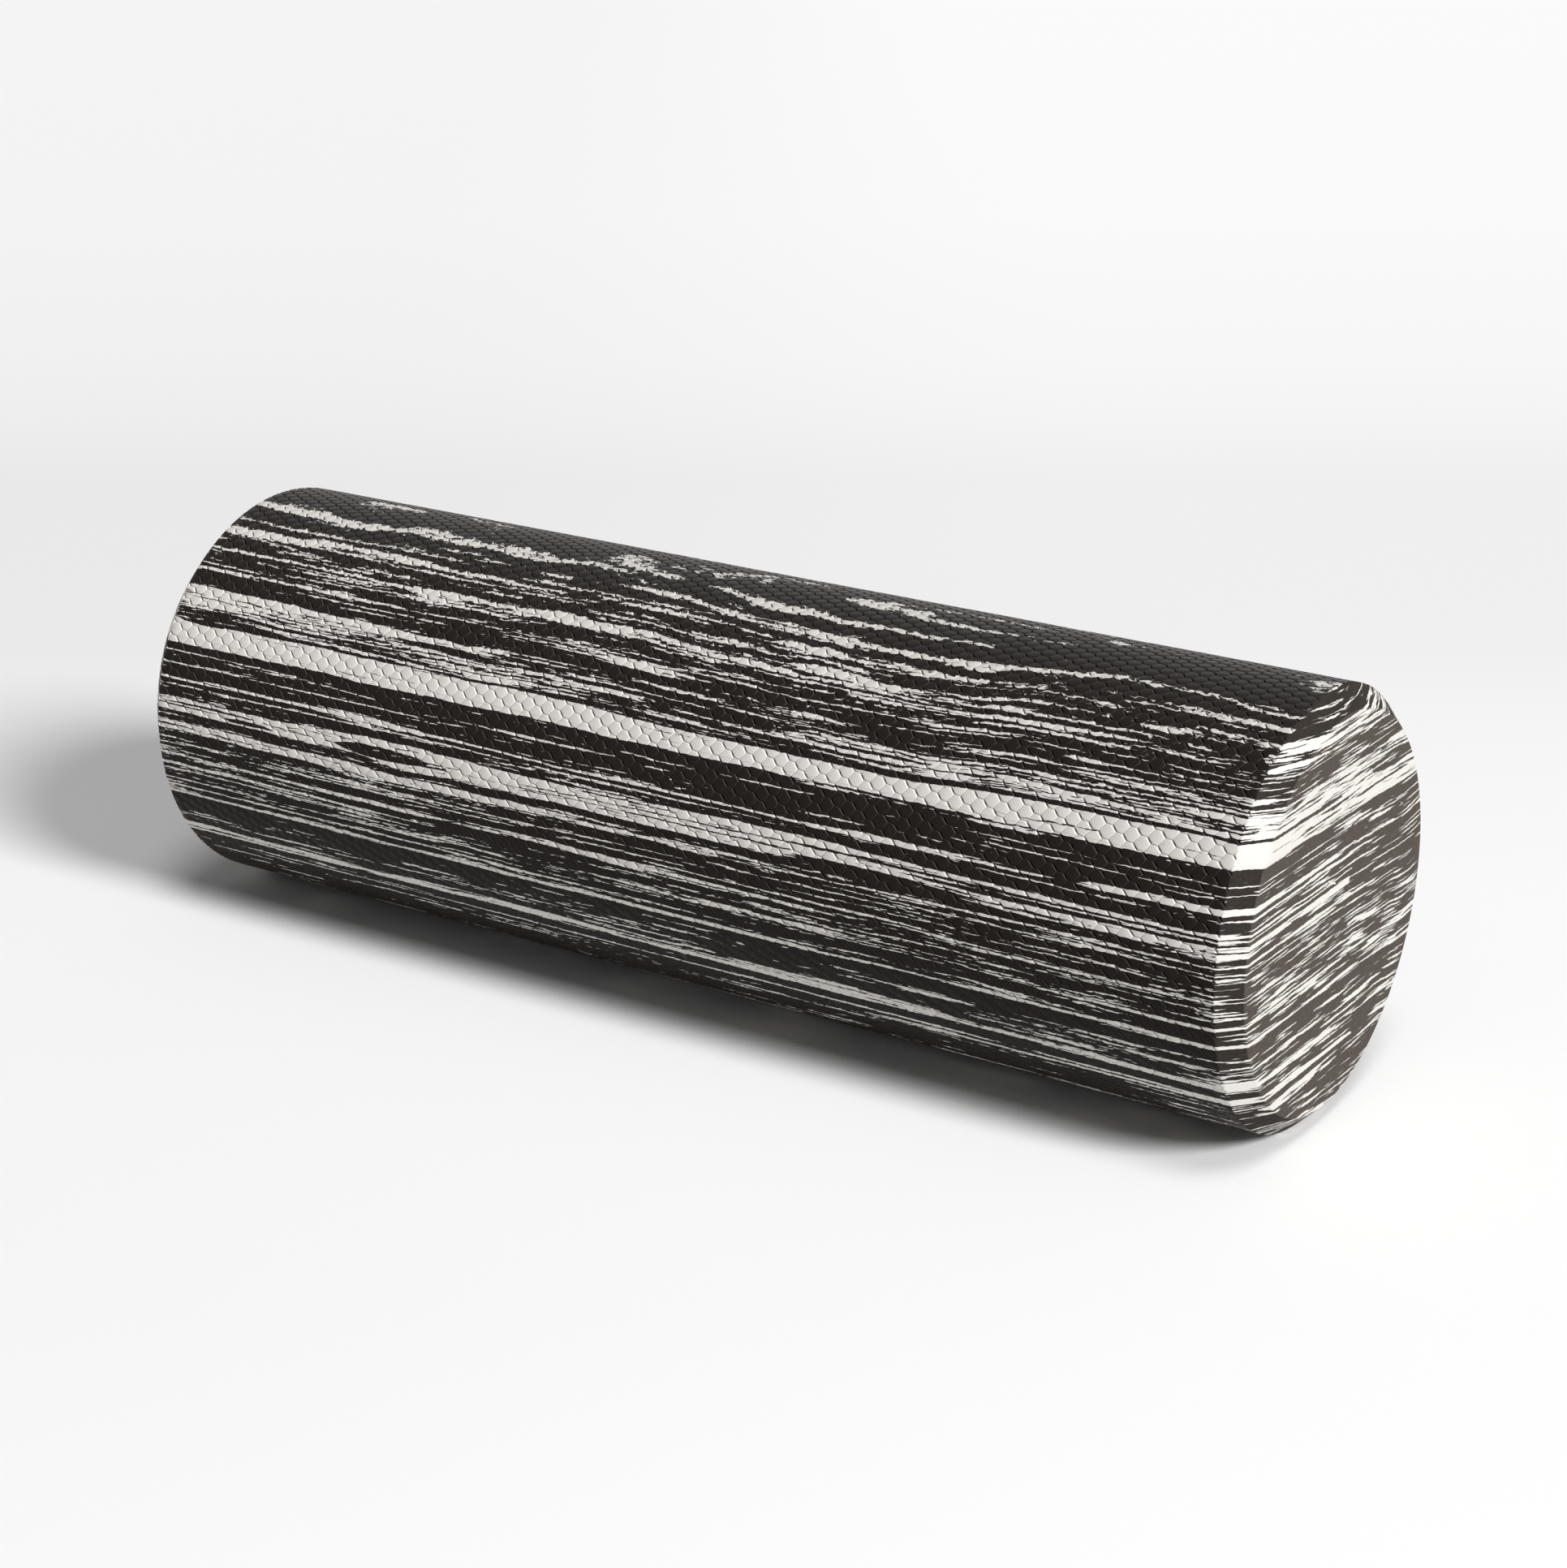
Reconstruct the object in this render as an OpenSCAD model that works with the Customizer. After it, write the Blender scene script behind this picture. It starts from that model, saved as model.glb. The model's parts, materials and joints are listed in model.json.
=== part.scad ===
// Marbled foam roller: three foam sheets are glued into a block and the block is turned to a cylinder.
// The roller lies on its side. X runs along its axis, Z is up, and the origin is on the floor
// under the middle of the roller. All sizes are in millimetres.

/* [Roller] */
// Diameter of the roller
roller_d = 152.4; // [125:0.1:185]
// Length of the roller from end face to end face
roller_l = 457.2; // [300:0.1:920]
// Bevel turned on the rim of each end, the same along the axis and across it
rim_bevel = 7.5; // [2:0.5:14]

/* [Glued block] */
// Thickness of the middle foam sheet
sheet_t = 61; // [48:0.5:75]
// Thickness of the glue film between two sheets
film_t = 0.2; // [0.1:0.05:1]
// Height of the middle sheet's centre above the roller's axis
sheet_rise = 4; // [-10:0.5:10]
// Turn of the sheets about the roller's axis in degrees, which lifts their front edges
sheet_turn = 1.5; // [-10:0.5:10]

/* [Hidden] */
$fn = 96;

// The roller's radius, which is also the height of its axis above the floor
roller_r = roller_d / 2;
// Radius of the flat end faces, inside the bevel
end_face_r = roller_r - rim_bevel;
// Half the length of the roller, and of its full-width side between the two bevels
half_l = roller_l / 2;
half_side_l = half_l - rim_bevel;

// Heights of the sheet and film faces, measured from the roller's axis, square to the sheets
middle_top = sheet_rise + sheet_t / 2;
middle_bottom = sheet_rise - sheet_t / 2;
upper_bottom = middle_top + film_t;
lower_top = middle_bottom - film_t;

// A cutting block reaches this far past the roller on every side that it doesn't cut
cut_reach = 10;

foam_grey = [0.36, 0.34, 0.33];
foam_dark = [0.24, 0.23, 0.22];
glue_amber = [0.62, 0.56, 0.44];

// The whole turned roller on the X axis: a cylinder with a bevel at each end
module turned_roller() {
    rotate([0, 90, 0])
        rotate_extrude()
            polygon([
                [0, -half_l],
                [end_face_r, -half_l],
                [roller_r, -half_side_l],
                [roller_r, half_side_l],
                [end_face_r, half_l],
                [0, half_l]
            ]);
}

// The part of the roller between two heights in the glued block, raised to lie on the floor
module layer(bottom, top) {
    cut_l = roller_l + 2 * cut_reach;
    cut_w = roller_d + 2 * cut_reach;
    translate([0, 0, roller_r])
        intersection() {
            turned_roller();
            rotate([-sheet_turn, 0, 0])
                translate([-cut_l / 2, -cut_w / 2, bottom])
                    cube([cut_l, cut_w, top - bottom]);
        }
}

// Top sheet, turned to a round back
module upper_slab() {
    color(foam_dark)
        layer(upper_bottom, roller_r + cut_reach);
}

// Glue film between the top and middle sheets
module upper_bond() {
    color(glue_amber)
        layer(middle_top, upper_bottom);
}

// Middle sheet, which keeps its full thickness
module middle_slab() {
    color(foam_grey)
        layer(middle_bottom, middle_top);
}

// Glue film between the middle and bottom sheets
module lower_bond() {
    color(glue_amber)
        layer(lower_top, middle_bottom);
}

// Bottom sheet, turned round where the roller meets the floor
module lower_slab() {
    color(foam_dark)
        layer(-roller_r - cut_reach, lower_top);
}

upper_slab();
upper_bond();
middle_slab();
lower_bond();
lower_slab();
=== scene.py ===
# Looks of the marbled foam roller: an embossed foam side, bevelled rims, cut ends and two glue lines.
# Meshes are in metres. The marbling is drawn in millimetres. X runs along the roller and Z is up.
import json
import math

import bmesh
import bpy
import numpy as np
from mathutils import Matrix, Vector


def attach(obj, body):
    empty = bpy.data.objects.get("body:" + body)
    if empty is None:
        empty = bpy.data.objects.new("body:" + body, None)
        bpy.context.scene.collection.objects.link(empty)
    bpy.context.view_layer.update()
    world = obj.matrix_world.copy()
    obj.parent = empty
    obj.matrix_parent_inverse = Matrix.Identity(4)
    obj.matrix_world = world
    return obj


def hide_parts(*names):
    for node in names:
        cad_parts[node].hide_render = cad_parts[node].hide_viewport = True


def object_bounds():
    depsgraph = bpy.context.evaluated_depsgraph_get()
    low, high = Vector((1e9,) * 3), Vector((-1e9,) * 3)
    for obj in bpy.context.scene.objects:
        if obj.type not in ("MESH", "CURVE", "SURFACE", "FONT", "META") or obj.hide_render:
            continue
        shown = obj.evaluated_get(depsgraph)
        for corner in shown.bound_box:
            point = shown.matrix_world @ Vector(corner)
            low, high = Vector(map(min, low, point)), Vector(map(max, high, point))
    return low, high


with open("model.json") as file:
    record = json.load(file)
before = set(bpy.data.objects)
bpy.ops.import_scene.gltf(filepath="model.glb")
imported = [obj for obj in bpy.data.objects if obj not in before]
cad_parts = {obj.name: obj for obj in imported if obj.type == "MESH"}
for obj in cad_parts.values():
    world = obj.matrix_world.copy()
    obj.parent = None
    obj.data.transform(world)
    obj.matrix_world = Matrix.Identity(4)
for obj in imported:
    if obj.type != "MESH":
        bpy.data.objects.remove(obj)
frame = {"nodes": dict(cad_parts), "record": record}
cad_low, cad_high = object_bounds()

MM = 0.001

# Sizes of the roller, from the frame
outside = next(m for m in frame["record"]["mounts"] if m["name"] == "outside")
RADIUS = outside["dims"]["r_mm"] * MM
HALF_SIDE = outside["dims"]["length_mm"] * MM / 2
HALF_LENGTH = (cad_high.x - cad_low.x) / 2
BEVEL = HALF_LENGTH - HALF_SIDE
AXIS_HEIGHT = outside["pos_m"][2]

# Embossed honeycomb: cells round the side and along it, on a lattice of small steps
CELLS_AROUND = 96
CELLS_ALONG = 104
STEPS_PER_COLUMN = 18
STEPS_PER_ROW = 20
# Corners of a cell from its centre, in steps along the roller and round it
CELL_CORNERS = ((13, -1), (5, 11), (-5, 9), (-13, 1), (-5, -11), (5, -9))
# Edges with a point more in their middle, where the groove is deeper: those that slant down to the right
DEEP_EDGES = (2, 5)
CELL_POINTS = len(CELL_CORNERS) + len(DEEP_EDGES)
# Slope of the rows along the roller, and what each metre towards the near end adds to it
ROW_SLOPE = -0.02
ROW_SLOPE_GAIN = -0.35
# Depth of the groove at each corner and deep point
GROOVE_SUNK = (0.55 * MM, 0.50 * MM, 0.60 * MM, 0.90 * MM, 0.55 * MM, 0.50 * MM, 0.60 * MM, 0.90 * MM)
# Edge of the pad and its flat: how far each lies from the middle of the groove, on each of the six edges.
# Edge k runs from corner k to the next.
PAD_EDGE = (0.10 * MM, 0.16 * MM, 0.42 * MM, 0.08 * MM, 0.16 * MM, 0.40 * MM)
PAD_FLAT = (0.28 * MM, 0.36 * MM, 0.54 * MM, 0.24 * MM, 0.46 * MM, 0.80 * MM)
# How far the pad's edge has sunk at each corner and deep point, and its flat at all of them
PAD_EDGE_SUNK = (0.14 * MM, 0.05 * MM, 0.05 * MM, 0.03 * MM, 0.05 * MM, 0.10 * MM, 0.16 * MM, 0.20 * MM)
PAD_FLAT_SUNK = (0.01 * MM,) * CELL_POINTS
# How far single cells stand out or sink at random
CELL_UNEVENNESS = 0.03 * MM
CELL_SEED = 7

# Softened edges of the bevel, and the rings of an end face as shares of its radius
RIM_EASE = 0.45 * MM
END_EASE = 0.30 * MM
END_RINGS = (0.8, 0.5, 0.2)

# How near a plane a vertex counts as on it, when the rim is looked for and when the mesh is cut
ON_RIM = 1e-6
ON_CUT = 1e-9
# Upward part of the normal that only the upper face of a glue film has
FACES_UP = 0.9

# Zones of a sheet's surface, which set where each face lies on the bake map
ZONE_SIDE = 0
ZONE_NEAR_END = 1
ZONE_FAR_END = 2
ZONE_GLUED = 3
# Boxes of the bake map as left, low, right and high. The side of a middle layer is two strips.
MAP_SIDE = (0.004, 0.004, 0.996, 0.74)
MAP_FRONT_STRIP = (0.004, 0.004, 0.996, 0.366)
MAP_BACK_STRIP = (0.004, 0.374, 0.996, 0.74)
MAP_NEAR_END = (0.004, 0.75, 0.496, 0.95)
MAP_FAR_END = (0.504, 0.75, 0.996, 0.95)
MAP_GLUED_TOP = (0.004, 0.96, 0.496, 0.996)
MAP_GLUED_UNDERSIDE = (0.504, 0.96, 0.996, 0.996)
# Angles from straight up, in radians, that only a layer with the roller's top or its underside comes near
TOP_ANGLE = 0.1
UNDERSIDE_ANGLE = 3.0


def inset_corners(corners, insets):
    """Corners of a polygon whose edges have each been moved inwards by their own inset."""
    count = len(corners)
    lines = []
    for k in range(count):
        along = corners[(k + 1) % count] - corners[k]
        inwards = np.array((-along[1], along[0])) / np.hypot(*along)
        lines.append((inwards, inwards @ corners[k] + insets[k]))
    moved = []
    for k in range(count):
        (before, reach_before), (after, reach_after) = lines[k - 1], lines[k]
        moved.append(np.linalg.solve(np.array((before, after)), np.array((reach_before, reach_after))))
    return moved


def with_deep_points(corners):
    """The corners of a cell or its pad, with the middles of the deep edges among them."""
    points = []
    for k, corner in enumerate(corners):
        points.append(corner)
        if k in DEEP_EDGES:
            points.append((corner + corners[(k + 1) % len(corners)]) / 2)
    return points


def cell_lattice():
    """Vertices as (along, angle, depth) of the embossed side, a little longer than it needs, with its faces,
    a random number for each face's cell and the vertices at the bottom of the grooves."""
    step_along = 2 * HALF_SIDE / CELLS_ALONG / STEPS_PER_COLUMN
    step_angle = 2 * math.pi / CELLS_AROUND / STEPS_PER_ROW
    step_around = step_angle * RADIUS
    corners = [np.array((a * step_along, b * step_around)) for a, b in CELL_CORNERS]
    pad_edge = with_deep_points(inset_corners(corners, PAD_EDGE))
    pad_flat = with_deep_points(inset_corners(corners, PAD_FLAT))
    outline = with_deep_points([np.array(steps) for steps in CELL_CORNERS])
    rng = np.random.default_rng(CELL_SEED)
    outline_index = {}
    points = []
    faces = []
    jogs = []

    def outline_point(a, b, depth):
        key = (a, b % (STEPS_PER_ROW * CELLS_AROUND))
        if key not in outline_index:
            outline_index[key] = len(points)
            points.append((a * step_along, b * step_angle, depth))
        return outline_index[key]

    def pad_ring(mid_a, mid_b, places, depths):
        first = len(points)
        for (along, around), depth in zip(places, depths):
            points.append((mid_a * step_along + along, mid_b * step_angle + around / RADIUS, depth))
        return list(range(first, len(points)))

    for column in range(-1, CELLS_ALONG + 1):
        for row in range(CELLS_AROUND):
            mid_a = STEPS_PER_COLUMN * column
            mid_b = STEPS_PER_ROW * row + STEPS_PER_ROW // 2 * (column % 2)
            lift = rng.uniform(-CELL_UNEVENNESS, CELL_UNEVENNESS)
            ring = [outline_point(mid_a + round(a), mid_b + round(b), depth)
                    for (a, b), depth in zip(outline, GROOVE_SUNK)]
            for places, sunk in ((pad_edge, PAD_EDGE_SUNK), (pad_flat, PAD_FLAT_SUNK)):
                inner = pad_ring(mid_a, mid_b, places, [depth + lift for depth in sunk])
                for k in range(CELL_POINTS):
                    after = (k + 1) % CELL_POINTS
                    faces.append((ring[k], ring[after], inner[after], inner[k]))
                ring = inner
            faces.append(tuple(ring))
            jogs += [rng.uniform(-1, 1)] * (1 + 2 * CELL_POINTS)
    placed = np.array(points)
    placed[:, 0] += STEPS_PER_COLUMN / 2 * step_along - HALF_SIDE
    climb = ROW_SLOPE * placed[:, 0] + ROW_SLOPE_GAIN / 2 * np.maximum(placed[:, 0], 0) ** 2
    placed[:, 1] += climb / RADIUS
    return placed, faces, jogs, set(outline_index.values())


def on_roller(along, angle, radius):
    """The point at an angle from straight up, turning towards the viewer, at a radius from the axis."""
    return (along, -radius * np.sin(angle), AXIS_HEIGHT + radius * np.cos(angle))


def angle_of(point):
    return math.atan2(-point[1], point[2] - AXIS_HEIGHT)


def add_end(bm, zone, way):
    """Closes one end of the side with its bevel and face. way is 1 at the near end, -1 at the far one."""
    rim = [v for v in bm.verts if abs(v.co.x - way * HALF_SIDE) < ON_RIM]
    rim.sort(key=lambda v: angle_of(v.co))
    angles = [angle_of(v.co) for v in rim]
    end_radius = RADIUS - BEVEL
    bevel_steps = ((RIM_EASE, RADIUS - RIM_EASE),
                   (2 * RIM_EASE, RADIUS - 2 * RIM_EASE),
                   (BEVEL - END_EASE, end_radius + END_EASE),
                   (BEVEL - END_EASE / 4, end_radius + END_EASE / 6))
    face_steps = [(BEVEL, end_radius - END_EASE)]
    face_steps += [(BEVEL, end_radius * share) for share in END_RINGS]

    def add_ring(outer, step, ring_zone):
        along = way * (HALF_SIDE + step[0])
        inner = [bm.verts.new(on_roller(along, angle, step[1])) for angle in angles]
        for k in range(len(outer)):
            after = (k + 1) % len(outer)
            face = bm.faces.new((outer[k], outer[after], inner[after], inner[k]))
            face[bm.faces.layers.int["zone"]] = ring_zone
            face.smooth = True
        return inner

    for step in bevel_steps:
        rim = add_ring(rim, step, ZONE_SIDE)
    for step in face_steps:
        rim = add_ring(rim, step, zone)
    middle = bm.verts.new((way * HALF_LENGTH, 0, AXIS_HEIGHT))
    for k in range(len(rim)):
        face = bm.faces.new((rim[k], rim[(k + 1) % len(rim)], middle))
        face[bm.faces.layers.int["zone"]] = zone


def cut_away(bm, point, normal):
    """Takes away what lies past a plane. Gives the edges along the cut."""
    made = bmesh.ops.bisect_plane(bm, geom=bm.verts[:] + bm.edges[:] + bm.faces[:], dist=ON_CUT,
                                  plane_co=point, plane_no=normal, clear_outer=True)
    return [e for e in made["geom_cut"] if isinstance(e, bmesh.types.BMEdge)]


def whole_roller():
    """The roller as one closed mesh, before it is cut into its sheets."""
    placed, faces, jogs, bottoms = cell_lattice()
    corners = np.stack(on_roller(placed[:, 0], placed[:, 1], RADIUS - placed[:, 2]), 1)
    mesh = bpy.data.meshes.new("side")
    mesh.from_pydata(corners.tolist(), [], faces)
    mesh.attributes.new("jog", "FLOAT", "FACE").data.foreach_set("value", jogs)
    bm = bmesh.new()
    bm.from_mesh(mesh)
    bpy.data.meshes.remove(mesh)
    for face in bm.faces:
        face.smooth = True
    for edge in bm.edges:
        edge.smooth = not (edge.verts[0].index in bottoms and edge.verts[1].index in bottoms)
    bm.faces.layers.int.new("zone")
    for way in (1, -1):
        cut_away(bm, (way * HALF_SIDE, 0, 0), (way, 0, 0))
    add_end(bm, ZONE_NEAR_END, 1)
    add_end(bm, ZONE_FAR_END, -1)
    bmesh.ops.recalc_face_normals(bm, faces=bm.faces[:])
    return bm


def glue_faces(node):
    """A point on a glue film's lower face, one on its upper face, and the film's upward normal."""
    mesh = frame["nodes"][node].data
    flat = [f for f in mesh.polygons if f.normal.z > FACES_UP]
    widest = max(flat, key=lambda f: f.area)
    normal = widest.normal.normalized()
    heights = [v.co.dot(normal) for v in mesh.vertices]
    return normal * min(heights), normal * max(heights), normal


def cut(bm, point, normal):
    """Keeps what lies under a plane and closes the cut with a flat face."""
    edges = cut_away(bm, point, normal)
    filled = bmesh.ops.triangle_fill(bm, edges=edges, use_beauty=True, normal=normal)
    zone = bm.faces.layers.int["zone"]
    for face in filled["geom"]:
        if isinstance(face, bmesh.types.BMFace):
            face[zone] = ZONE_GLUED
            face.smooth = False
    for edge in edges:
        edge.smooth = False


def layer_of(whole, name, below=None, above=None):
    """The part of the roller between two planes, as an object. A plane is a point and an upward normal."""
    bm = whole.copy()
    if below:
        cut(bm, below[0], below[1])
    if above:
        cut(bm, above[0], -above[1])
    bmesh.ops.recalc_face_normals(bm, faces=bm.faces[:])
    mesh = bpy.data.meshes.new(name)
    bm.to_mesh(mesh)
    bm.free()
    piece = bpy.data.objects.new(name, mesh)
    bpy.context.scene.collection.objects.link(piece)
    return piece


def make_layers():
    """The three sheets and two glue films, cut from one roller by the films' own faces."""
    whole = whole_roller()
    low_bottom, low_top, low_normal = glue_faces("lower_bond")
    high_bottom, high_top, high_normal = glue_faces("upper_bond")
    layers = {
        "upper_slab": layer_of(whole, "upper_sheet", above=(high_top, high_normal)),
        "upper_bond": layer_of(whole, "upper_glue", (high_top, high_normal), (high_bottom, high_normal)),
        "middle_slab": layer_of(whole, "middle_sheet", (high_bottom, high_normal), (low_top, low_normal)),
        "lower_bond": layer_of(whole, "lower_glue", (low_top, low_normal), (low_bottom, low_normal)),
        "lower_slab": layer_of(whole, "lower_sheet", below=(low_bottom, low_normal)),
    }
    whole.free()
    return layers


def numbers_of(items, name):
    """One whole number of every item of a mesh."""
    values = np.zeros(len(items), np.int32)
    items.foreach_get(name, values)
    return values


def vectors_of(items, name):
    """One vector of every item of a mesh, as rows."""
    values = np.zeros(len(items) * 3)
    items.foreach_get(name, values)
    return values.reshape(-1, 3)


def place_on_map(spots, chosen, across, up, box):
    """Lays the chosen face corners on a box of the map by their two coordinates."""
    left, low, right, high = box
    for axis, values, start, stop in ((0, across, left, right), (1, up, low, high)):
        lowest = values[chosen].min()
        reach = max(values[chosen].max() - lowest, 1e-9)
        spots[chosen, axis] = start + (values[chosen] - lowest) / reach * (stop - start)


def add_bake_map(piece):
    """Lays a layer out for baking: its side unrolled, then its two ends and its glued faces."""
    mesh = piece.data
    counts = numbers_of(mesh.polygons, "loop_total")
    corners = numbers_of(mesh.loops, "vertex_index")
    zones = np.repeat(numbers_of(mesh.attributes["zone"].data, "value"), counts)
    upwards = np.repeat(vectors_of(mesh.polygons, "normal")[:, 2] > 0, counts)
    in_front = np.repeat(vectors_of(mesh.polygons, "center")[:, 1] < 0, counts)
    x, y, z = vectors_of(mesh.vertices, "co")[corners].T
    angle = np.arctan2(-y, z - AXIS_HEIGHT)
    along = x + np.maximum(np.abs(x) - HALF_SIDE, 0) * np.sign(x)
    spots = np.zeros((len(corners), 2))
    side = zones == ZONE_SIDE
    if np.abs(angle[side]).min() < TOP_ANGLE:
        place_on_map(spots, side, along, -angle, MAP_SIDE)
    elif np.abs(angle[side]).max() > UNDERSIDE_ANGLE:
        place_on_map(spots, side, along, -(angle % (2 * math.pi)), MAP_SIDE)
    else:
        place_on_map(spots, side & in_front, along, -angle, MAP_FRONT_STRIP)
        place_on_map(spots, side & ~in_front, along, -angle, MAP_BACK_STRIP)
    place_on_map(spots, zones == ZONE_NEAR_END, y, z, MAP_NEAR_END)
    place_on_map(spots, zones == ZONE_FAR_END, -y, z, MAP_FAR_END)
    glued = zones == ZONE_GLUED
    if (glued & upwards).any():
        place_on_map(spots, glued & upwards, x, y, MAP_GLUED_TOP)
    if (glued & ~upwards).any():
        place_on_map(spots, glued & ~upwards, x, -y, MAP_GLUED_UNDERSIDE)
    mesh.uv_layers.new(name="OFBake").data.foreach_set("uv", spots.ravel())


# Steps by which a seed moves a noise along, across and up
SEED_STEPS = (7.31, 3.17, 5.77)


class Graph:
    """Adds nodes to the tree of a material or world. Most calls return what the new node gives out."""

    def __init__(self, owner):
        owner.use_nodes = True
        self.owner = owner
        self.tree = owner.node_tree
        self.tree.nodes.clear()

    def set(self, socket, value):
        if isinstance(value, bpy.types.NodeSocket):
            self.tree.links.new(value, socket)
        else:
            socket.default_value = value

    def node(self, kind, inputs, **settings):
        """A new node. inputs go by name or number, and each is a socket or a plain value."""
        made = self.tree.nodes.new("ShaderNode" + kind)
        for name, value in settings.items():
            setattr(made, name, value)
        for key, value in inputs.items():
            self.set(made.inputs[key], value)
        return made

    def math(self, operation, *values):
        return self.node("Math", dict(enumerate(values)), operation=operation).outputs[0]

    def total(self, *values):
        result = values[0]
        for value in values[1:]:
            result = self.math("ADD", result, value)
        return result

    def between(self, share, first, second):
        """A value that goes from first to second with a share from 0 to 1."""
        return self.math("MULTIPLY_ADD", share, second - first, first)

    def split(self, vector):
        return self.node("SeparateXYZ", {0: vector}).outputs[:3]

    def join(self, x, y, z):
        return self.node("CombineXYZ", {0: x, 1: y, 2: z}).outputs[0]

    def scaled(self, vector, factor):
        return self.node("VectorMath", {0: vector, "Scale": factor}, operation="SCALE").outputs[0]

    def length(self, vector):
        return self.node("VectorMath", {0: vector}, operation="LENGTH").outputs["Value"]

    def dot(self, first, second):
        return self.node("VectorMath", {0: first, 1: second}, operation="DOT_PRODUCT").outputs["Value"]

    def ease(self, value, low, high, to_low=0.0, to_high=1.0):
        """A smooth step from to_low, where value is low, to to_high, where it is high."""
        inputs = {"Value": value, "From Min": low, "From Max": high, "To Min": to_low, "To Max": to_high}
        return self.node("MapRange", inputs, interpolation_type="SMOOTHSTEP").outputs[0]

    def noise(self, place, kind, seed, coarse=1.0):
        """Noise about zero. Its kind is its size along, across and up, its own part of the seed and its
        detail. coarse makes its size up larger."""
        (along, across, up), own_seed, detail = kind
        inputs = {"Vector": place,
                  "Location": tuple((seed + own_seed) * step for step in SEED_STEPS),
                  "Scale": (1 / along, 1 / across, 1 / (up * coarse))}
        moved = self.node("Mapping", inputs).outputs[0]
        made = self.node("TexNoise", {"Vector": moved, "Scale": 1.0, "Detail": detail})
        return self.math("SUBTRACT", made.outputs["Fac"], 0.5)

    def mix(self, share, first, second):
        """A mix of two colours. The colour sockets share their names with others, so they go by number."""
        made = self.node("Mix", {}, data_type="RGBA")
        self.set(made.inputs["Factor"], share)
        self.set(made.inputs[6], first)
        self.set(made.inputs[7], second)
        return made.outputs[2]

    def ramp(self, value, stops):
        """A value that runs in straight lines through stops of (place, value), all from 0 to 1."""
        made = self.node("ValToRGB", {"Fac": value})
        elements = made.color_ramp.elements
        while len(elements) < len(stops):
            elements.new(1.0)
        for element, (place, level) in zip(elements, stops):
            element.position = place
            element.color = (level, level, level, 1)
        return made.outputs["Color"]

    def curves(self, value, *lines):
        """Up to three smooth lines through points of (place, value), all from 0 to 1."""
        made = self.node("RGBCurve", {"Color": value})
        made.mapping.extend = "HORIZONTAL"
        for line, points in zip(made.mapping.curves, lines):
            while len(line.points) < len(points):
                line.points.new(1.0, 0.0)
            for point, place in zip(line.points, points):
                point.location = place
                point.handle_type = "AUTO_CLAMPED"
        made.mapping.update()
        parts = self.node("SeparateColor", {"Color": made.outputs["Color"]})
        return parts.outputs[:len(lines)]


# Marbling, in millimetres. A height in the block is measured from the roller's axis, square to the sheets,
# where the layer meets the near rim: the layers climb a little along the roller.
LIGHT = 1
DARK = -1
LAYER_CLIMB = 0.0043
SIDE_RADIUS = RADIUS / MM
NEAR_RIM = HALF_SIDE / MM
NEAR_END = HALF_LENGTH / MM
# Reach of the knots each way along the roller, of half a streak's thickness, and of the layers' wave
KNOT_REACH = 230.0
HALF_MIN = -1.0
HALF_MAX = 7.0
WAVE_SPAN = 4.0
# How full of its own foam a drawn shape is. The less full it is, the more fine lines run through it.
FULL = 0.58


def streak(tone, *knots):
    """A drawn streak. A knot is its place along the roller, its height and half its thickness.
    The streak ends where half its thickness falls under zero."""
    return tone, "streak", (knots, FULL)


def lens(tone, place, reach, full=FULL):
    """A drawn patch round a place (along, across, height), with its reach each way."""
    return tone, "lens", (place, reach, full)


# Light band over the lower glue line, which the two sheets there share
LOWER_LINE = streak(LIGHT, (-222, -24.4, 0.5), (-190, -24.3, 0.6), (-100, -24.4, 0.6), (0, -24.8, 0.7),
                    (50, -24.7, 0.8), (100, -24.3, 0.6), (150, -24.2, 0.5), (222, -24.5, 0.6))

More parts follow.
